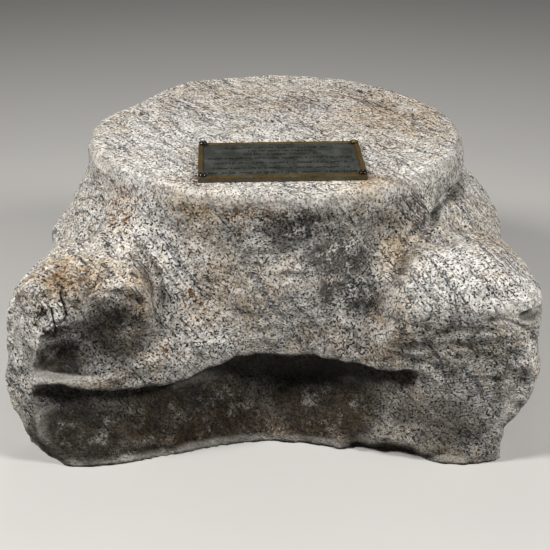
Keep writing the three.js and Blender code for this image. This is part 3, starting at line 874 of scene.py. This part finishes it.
def relief(points):
    """How far the worn surface stands above or below the smooth shape."""
    pressed = LAYER_PRESSED * (points @ LAYER_NORMAL)
    layers = np.stack([points @ LAYER_ALONG, points @ LAYER_ACROSS, pressed], axis=1)
    height = sum(high * noise(points, size, seed) for high, size, seed in WAVES) - WORN_AWAY
    layer_high, layer_size, layer_seed = LAYER_RELIEF
    height += layer_high * noise(layers, layer_size, layer_seed)
    # Sharper scars: creases where a noise changes sign, in some places only.
    crease = (1 - np.minimum(np.abs(noise(points, 60, 6)) * SCAR_SHARPNESS, 1))**2
    height -= SCAR_DEPTH * crease * (noise(points, 90, 7) > SCARS_ABOVE)
    # The bed on top is smoother.
    height *= 1 - TOP_SMOOTHER * ease((points[:, 2] - HEIGHT + TOP_BAND) / TOP_FADE)
    # Flaking: low terraces whose edges wander, with rubble between them.
    flakes = FLAKES_DEEP * noise(points, 22, 8) + 0.5 * noise(points, 7, 11)
    step = np.floor(flakes) + ease((flakes - np.floor(flakes) - (1 - FLAKE_RISE)) / FLAKE_RISE)
    rubble = sum(high * noise(points, size, seed) for high, size, seed in RUBBLE)
    return height + spot_cover(points, CRAGS) * (FLAKE_THICKNESS * step + rubble)


def crack_depth(points):
    """How deep the front's cracks and the small pits are at each point."""
    deepest = np.zeros(len(points))
    flat = points[:, [0, 2]]
    for path, half_width, depth in FRONT_CRACKS:
        near = np.full(len(points), np.inf)
        for start, end in zip(np.array(path[:-1], float), np.array(path[1:], float)):
            way = end - start
            share = np.clip((flat - start) @ way / (way @ way), 0, 1)
            near = np.minimum(near, np.linalg.norm(flat - start - share[:, None] * way, axis=1))
        wander = near + 0.8 * noise(points, 6, 12)
        deepest = np.maximum(deepest, depth * bump(wander / half_width))
    deepest *= points[:, 1] < CRACKS_BACK
    for centre, radius, depth in PITS:
        away = np.linalg.norm(points - centre, axis=1) + 1.2 * noise(points, 8, 13)
        deepest = np.maximum(deepest, depth * bump(away / radius))
    return deepest


# The stone's flat seat under the plate: how far past the plate it fades, how deep down it counts, its gap.
SEAT_FADE, SEAT_DEEP, SEAT_GAP = 12, 30, 0.2


def under_plate(points):
    """1 under the plate, falling to 0 a little outside it."""
    middle = [(plate_low[i] + plate_high[i]) / 2 / MM for i in range(2)]
    half = [(plate_high[i] - plate_low[i]) / 2 / MM for i in range(2)]
    past = np.maximum(np.abs(points[:, 0] - middle[0]) - half[0], np.abs(points[:, 1] - middle[1]) - half[1])
    return (1 - ease(past / SEAT_FADE)) * (points[:, 2] > HEIGHT - SEAT_DEEP)


def add_attribute(piece, name, values):
    attribute = piece.data.attributes.new(name, "FLOAT", "POINT")
    attribute.data.foreach_set("value", np.ascontiguousarray(values, dtype=np.float32))


def spot_cover(points, spots):
    """How strongly the spots of one kind (a stain, painted shade or a crag) cover each point."""
    total = np.zeros(len(points))
    for centre, axes, strength in spots:
        reach = np.linalg.norm((points - centre) / axes, axis=1)
        total = np.maximum(total, strength * (1 - ease((reach - 0.35) / 0.65)))
    return total


def level_underside(piece):
    """Makes the flat bed on the ground one face."""
    mesh = bmesh.new()
    mesh.from_mesh(piece.data)
    flat = [face for face in mesh.faces if all(vertex.co.z < 1e-6 for vertex in face.verts)]
    bmesh.ops.dissolve_faces(mesh, faces=flat, use_verts=True)
    mesh.to_mesh(piece.data)
    mesh.free()


# The grid in x, y and z, finest at the front: (from, to, step) in mm.
GRID = (
    stretches((-334, -190, 3.5), (-190, 334, 4.0)),
    stretches((-324, -235, 3.4), (-235, -130, 4.0), (-130, 320, 6.0)),
    stretches((-6, 112, 4.2), (112, 262, 3.5), (262, 340, 4.2)),
)
SETTLE_REACH = 3
NEAR, FAR, INWARD = 14, 60, 10   # how far off the surface the shelter and the edges are felt for
NEAR_BOTTOM = 3                  # below this the relief only moves the surface sideways


def shelter_and_rubbed_edges(points, normals):
    """How sheltered each point is, for painted shade, and how far it is a rubbed edge, both 0 to 1."""
    open_near = stone_field((points + NEAR * normals).T) / NEAR
    open_far = stone_field((points + FAR * normals).T) / FAR
    deep = -stone_field((points - INWARD * normals).T) / INWARD
    sheltered = np.clip(1.2 - 0.5 * open_near - 0.8 * open_far, 0, 1)
    edge = np.clip((0.93 - deep) * 3, 0, 1)
    return sheltered, edge


def roughened(points, normals, cracks):
    """The points moved out and in by the relief and the cracks, flat under the plate and on the ground."""
    offset = relief(points) - cracks
    covered = under_plate(points)
    seated = np.minimum(offset, 0) * (1 - covered) - SEAT_GAP * covered
    offset = np.where(covered > 0, seated, offset)
    bottom = points[:, 2] < NEAR_BOTTOM
    ways = normals.copy()
    ways[bottom, 2] = 0
    points = points + offset[:, None] * ways
    points[:, 2] = np.clip(points[:, 2], 0, HEIGHT + 2)
    return points


def make_stone():
    """The stone, as one closed mesh with its stains, cracks and painted shade as attributes for the material.
    """
    points, faces = surface_net(stone_field, GRID)
    points, faces = refined(points, faces, CLOSE)
    points, faces = refined(points, faces, CLOSER)
    points = settle(stone_field, points, SETTLE_REACH)
    slope = gradient(stone_field, points)
    normals = slope / np.maximum(np.linalg.norm(slope, axis=1, keepdims=True), 1e-6)
    sheltered, edge = shelter_and_rubbed_edges(points, normals)
    cracks = crack_depth(points)
    points = roughened(points, normals, cracks)

    piece = new_piece("stone_block", points, faces, stone_material())
    # Painted shade: the more closed in a point is, the darker it is painted, in hollows, the cave and
    # undersides.
    add_attribute(piece, "shelter_shade", sheltered)
    add_attribute(piece, "edge", edge)
    # Painted shade in the cracks and pits, from their depth.
    add_attribute(piece, "crack_and_pit_shade", np.clip(cracks / CRACK_SHADE_FULL, 0, 1))
    for name, spots in STAINS_AND_SHADE.items():
        add_attribute(piece, name, spot_cover(points, spots))
    level_underside(piece)
    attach(piece, "root")
    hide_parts("capital")


# ---- the plate and its screws: sizes in mm ----

PLATE_WIDTH, PLATE_DEPTH, PLATE_THICKNESS = 200, 120, 6.4
PLATE_BORDER, PLATE_RECESS = 6.5, 1.6
PLATE_FIELD = PLATE_THICKNESS - PLATE_RECESS
PLATE_TURN = math.radians(2.46)
HOLE_RADIUS, HOLE_FROM, HOLE_TO = 2.6, -4, 12
# (inset from the edge, height) from the back of the plate over the border to the field.
PLATE_SECTION = [
    (0.5, 0), (0, 0.5), (0, 5.0), (0.35, 5.9), (1.1, PLATE_THICKNESS), (PLATE_BORDER - 1.2, PLATE_THICKNESS),
    (PLATE_BORDER - 0.4, PLATE_THICKNESS - 0.35), (PLATE_BORDER, PLATE_FIELD + 0.4),
    (PLATE_BORDER + 0.5, PLATE_FIELD),
]

SCREW_INSET = 5.8
SCREW_HEAD, SCREW_DOME, SCREW_SHANK, SCREW_LENGTH, SCREW_GAP = 10.6, 4.6, 4.4, 36, 0.3
SCREW_EDGE = 0.6                 # the straight edge under the dome
FLAT_DOME = 0.55                 # the flat screw's dome, as a share of the others'

# Each row of strokes: how far down the field it is, and how much of its width it takes, as shares.
TEXT_ROWS = [(0.11, 0.73), (0.21, 0.42), (0.32, 0.49), (0.45, 0.95), (0.60, 0.86), (0.76, 0.88), (0.90, 0.96)]
STROKE_PITCH, STROKE_WIDTH, STROKE_TALL, STROKE_RAISED = 4.1, 1.1, 5.2, 0.9
CROSS_STROKE, CROSS_STROKE_SHARE = 1.6, 0.65
SHORTEST_WORD, LONGEST_WORD = 3, 8
# A stroke's (height above the field, growth of its outline), from its root to its top.
STROKE_SECTION = [(-0.4, 0.25), (0, 0.25), (STROKE_RAISED - 0.15, 0.05), (STROKE_RAISED, -0.12)]


def plate_frame():
    """From the plate's own frame, in mm, to the frame of the whole."""
    x, y = ((plate_low[i] + plate_high[i]) / 2 / MM for i in range(2))
    return Matrix.Translation((x, y, plate_low[2] / MM)) @ Matrix.Rotation(PLATE_TURN, 4, "Z")


def rounded_ring(width, depth, radius, z, steps=5):
    """A rectangle with rounded corners, as a ring of points."""
    ring = []
    for quarter in range(4):
        sx, sy = ((1, 1), (-1, 1), (-1, -1), (1, -1))[quarter]
        for step in range(steps + 1):
            angle = math.pi / 2 * (quarter + step / steps)
            x = sx * (width / 2 - radius) + radius * math.cos(angle)
            y = sy * (depth / 2 - radius) + radius * math.sin(angle)
            ring.append((x, y, z))
    return np.array(ring)


def stroke(u, v, length, lean):
    """One raised stroke on the plate's field: a bar with sloping sides."""
    rings = []
    for height, grow in STROKE_SECTION:
        half_length, half_width = length / 2 + grow, STROKE_WIDTH / 2 + grow
        ring = []
        for a, b in ((1, 1), (-1, 1), (-1, -1), (1, -1)):
            x, y = a * half_width, b * half_length
            ring.append((u + x * math.cos(lean) - y * math.sin(lean),
                         v + x * math.sin(lean) + y * math.cos(lean), PLATE_FIELD + height))
        rings.append(np.array(ring))
    return stacked_rings(rings)


def rows_of_strokes():
    """Rows of short strokes in words, where the plate has its wording: they aren't letters."""
    rng = np.random.default_rng(SEED)
    inner_width, inner_depth = PLATE_WIDTH - 2 * PLATE_BORDER, PLATE_DEPTH - 2 * PLATE_BORDER
    vertices, faces = [], []
    for down, share in TEXT_ROWS:
        places = int(share * inner_width / STROKE_PITCH)
        left_in_word = rng.integers(SHORTEST_WORD, LONGEST_WORD + 1)
        for place in range(places):
            left_in_word -= 1
            if left_in_word < 0:
                left_in_word = rng.integers(SHORTEST_WORD, LONGEST_WORD + 1)
                continue
            u = (place - (places - 1) / 2) * STROKE_PITCH
            v = inner_depth / 2 - down * inner_depth
            tall = rng.uniform(0.55, 1.0) * STROKE_TALL
            bars = [(u - 0.9, v, tall, rng.uniform(-0.35, 0.35))]
            if rng.random() < CROSS_STROKE_SHARE:
                shift = rng.uniform(-0.3, 0.3) * STROKE_TALL
                bars.append((u + 1.2, v + shift, CROSS_STROKE, math.pi / 2 + rng.uniform(-0.4, 0.4)))
            for bar in bars:
                points, quads = stroke(*bar)
                faces += [[i + len(vertices) for i in quad] for quad in quads]
                vertices += list(points)
    return vertices, faces


def metres(matrix):
    """The same placing, for a mesh that is already in metres."""
    return Matrix.Translation(matrix.translation * MM) @ matrix.to_3x3().to_4x4()


def screw_places():
    """The screws' places in the plate's own frame: front left, front right, back left, back right."""
    x, y = PLATE_WIDTH / 2 - SCREW_INSET, PLATE_DEPTH / 2 - SCREW_INSET
    return [(-x, -y), (x, -y), (-x, y), (x, y)]


def circle(radius, z, sides, middle=(0, 0)):
    """A level ring of points."""
    turns = np.linspace(0, 2 * math.pi, sides, endpoint=False)
    x, y = middle[0] + radius * np.cos(turns), middle[1] + radius * np.sin(turns)
    return np.column_stack([x, y, 0 * turns + z])


def screw_hole(place, material):
    """A round cutter through the plate, in the plate's own frame."""
    rings = [circle(HOLE_RADIUS, z, 24, place) for z in (HOLE_FROM, HOLE_TO)]
    return new_piece("hole", *stacked_rings(rings), material, smooth=False)


def make_plate():
    """The plate with its raised border, four holes and rows of strokes."""
    material = bronze_material("patinated_bronze", "42443d", "7d6229", "17150f")
    rings = [
        rounded_ring(PLATE_WIDTH - 2 * inset, PLATE_DEPTH - 2 * inset, max(2.2 - 0.3 * inset, 0.6), z)
        for inset, z in PLATE_SECTION
    ]
    piece = new_piece("bronze_plate", *stacked_rings(rings), material, smooth=False)
    cut_away(piece, [screw_hole(place, material) for place in screw_places()])
    add_shells(piece, *rows_of_strokes())
    piece.data.shade_flat()

    # The border is rubbed bright, most of all on top, and the strokes are dark.
    at = np.array([vertex.co for vertex in piece.data.vertices]) / MM
    past_edge = np.maximum(np.abs(at[:, 0]) - PLATE_WIDTH / 2, np.abs(at[:, 1]) - PLATE_DEPTH / 2)
    on_border = past_edge > 0.2 - PLATE_BORDER
    on_top = at[:, 2] > PLATE_THICKNESS - 1
    in_field = past_edge < -PLATE_BORDER - 1
    off_field = np.abs(at[:, 2] - PLATE_FIELD) > 0.2
    add_attribute(piece, "worn", np.where(on_top, 0.9, 0.3) * on_border)
    add_attribute(piece, "ink", in_field & off_field)
    piece.data.transform(metres(plate_frame()))
    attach(piece, "root")
    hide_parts("plaque")


def screw_profile(dome):
    """(radius, height) from the screw's point up its shank and over its domed head."""
    head, shank = SCREW_HEAD / 2, SCREW_SHANK / 2
    point = [(0.6, -SCREW_LENGTH), (1.6, -SCREW_LENGTH + 3.5), (shank, -SCREW_LENGTH + 7)]
    under_head = [(shank, 0), (head - 0.3, 0), (head, 0.25)]
    over = [(head * math.cos(a), SCREW_EDGE + (dome - SCREW_EDGE) * math.sin(a))
            for a in np.linspace(0, math.pi / 2, 12)[:-1]]
    return [*point, *under_head, *over, (0.5, dome)]


def make_screws():
    """Four dome-headed screws, each turned from one profile; one of them is a flatter, brassier one."""
    dark = bronze_material("screw_bronze", "231e19", "4a3826", "100d0a", dull=0.16)
    brassy = bronze_material("screw_brass", "4a3b22", "a8843e", "1d1810", dull=0.2)
    names = ("front_left", "front_right", "back_left", "back_right")
    for name, place in zip(names, screw_places()):
        flat = name == "back_right"
        dome = SCREW_DOME * (FLAT_DOME if flat else 1.0)
        vertices, faces = stacked_rings([circle(radius, z, 40) for radius, z in screw_profile(dome)])
        piece = new_piece("screw_" + name + "_fine", vertices, faces, brassy if flat else dark)
        piece.data.set_sharp_from_angle(angle=math.radians(40))
        half_dome = 0.5 * dome
        crown = ease((vertices[:, 2] - half_dome) / half_dome)
        add_attribute(piece, "worn", crown * (1.0 if flat else 0.5))
        seat = Matrix.Translation((*place, PLATE_THICKNESS + SCREW_GAP))
        piece.data.transform(metres(plate_frame() @ seat))
        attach(piece, "root")
        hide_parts("screw_" + name)


# ---- the stage: metres, degrees and watts ----

CAMERA_PLACE, CAMERA_DOWN = (0, -1.625, 0.893), 25.55
CAMERA_LENS, CAMERA_SENSOR = 85.7, 36      # mm
LIGHTS_AIM = (0, 0, 0.15)
# (name, place, size, power).
LIGHTS = [
    ("key", (-1.3, -0.8, 1.58), 0.42, 35),
    ("side", (1.45, -0.95, 1.45), 0.45, 30),
    ("top", (0.0, 0.9, 1.8), 0.9, 5),
]
WORLD_STRENGTH = 0.02
FLOOR_HALF, FLOOR_DOWN = 6000, 0.5         # mm


def make_camera():
    camera = bpy.data.objects.new("camera", bpy.data.cameras.new("camera"))
    camera.data.lens = CAMERA_LENS
    camera.data.sensor_width = CAMERA_SENSOR
    camera.location = CAMERA_PLACE
    camera.rotation_euler = (math.radians(90 - CAMERA_DOWN), 0, 0)
    bpy.context.scene.collection.objects.link(camera)
    bpy.context.scene.camera = camera


def make_light(name, place, size, power):
    light = bpy.data.objects.new(name, bpy.data.lights.new(name, "AREA"))
    light.data.energy = power
    light.data.size = size
    light.location = place
    light.rotation_euler = (Vector(LIGHTS_AIM) - Vector(place)).to_track_quat("-Z", "Y").to_euler()
    bpy.context.scene.collection.objects.link(light)


def make_stage():
    n = Nodes("pale_floor")
    base = n.mix(n.noise(300, detail=2.0), colour("cfccc7"), colour("d6d3ce"))
    material = n.finish(base, 0.9, n.bump(n.noise(3), 0.05))
    corners = [
        (a * FLOOR_HALF, b * FLOOR_HALF, -FLOOR_DOWN) for a, b in ((-1, -1), (1, -1), (1, 1), (-1, 1))
    ]
    floor = new_piece("floor", corners, [(0, 1, 2, 3)], material, smooth=False)
    # The floor shows, but throws no light back up under the stone.
    floor.visible_diffuse = False
    for light in LIGHTS:
        make_light(*light)
    world = bpy.data.worlds.new("studio")
    world.use_nodes = True
    background = world.node_tree.nodes["Background"]
    background.inputs["Color"].default_value = (1, 1, 1, 1)
    background.inputs["Strength"].default_value = WORLD_STRENGTH
    bpy.context.scene.world = world
    bpy.context.scene.view_settings.view_transform = "Standard"


make_camera()
make_stage()
make_stone()
make_plate()
make_screws()
